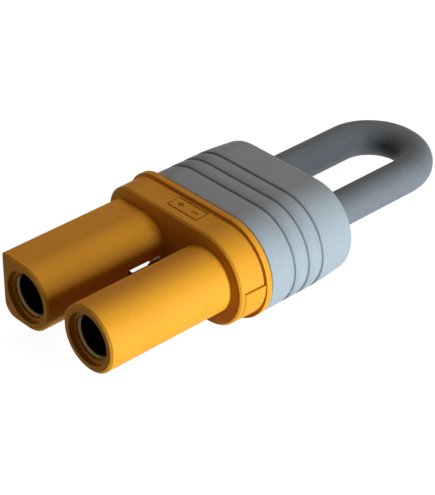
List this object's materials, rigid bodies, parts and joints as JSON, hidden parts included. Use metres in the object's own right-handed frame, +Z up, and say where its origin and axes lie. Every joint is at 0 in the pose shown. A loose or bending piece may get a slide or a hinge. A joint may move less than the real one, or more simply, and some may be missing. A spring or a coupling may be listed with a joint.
{
  "type": "battery loop connector",
  "caption": "Keyed two-pole socket connector with a ridged boot and a short cable loop that joins its poles, used to close a battery circuit.",
  "frame": {"origin": "middle of the mating face: the block's front face, halfway between the poles", "axes": "+Y from the sockets towards the cable loop, +X from the keyed pole to the round pole, +Z up"},
  "size_m": [0.0219, 0.0534, 0.012],
  "materials": {
    "nylon": "fine satin moulding",
    "boot_rubber": "matte",
    "contact_gold": "gold plated, turned",
    "solder_metal": "dull solder",
    "shrink_tube": "matte",
    "cable_rubber": "matte",
    "strand_copper": "bright strands"
  },
  "bodies": {
    "root": {"housing": "nylon", "boot": "boot_rubber", "contact_left": "contact_gold", "contact_right": "contact_gold", "solder_left": "solder_metal", "solder_right": "solder_metal", "sleeve_left": "shrink_tube", "sleeve_right": "shrink_tube", "cable_jacket": "cable_rubber", "cable_conductor": "strand_copper"}
  },
  "joints": []
}
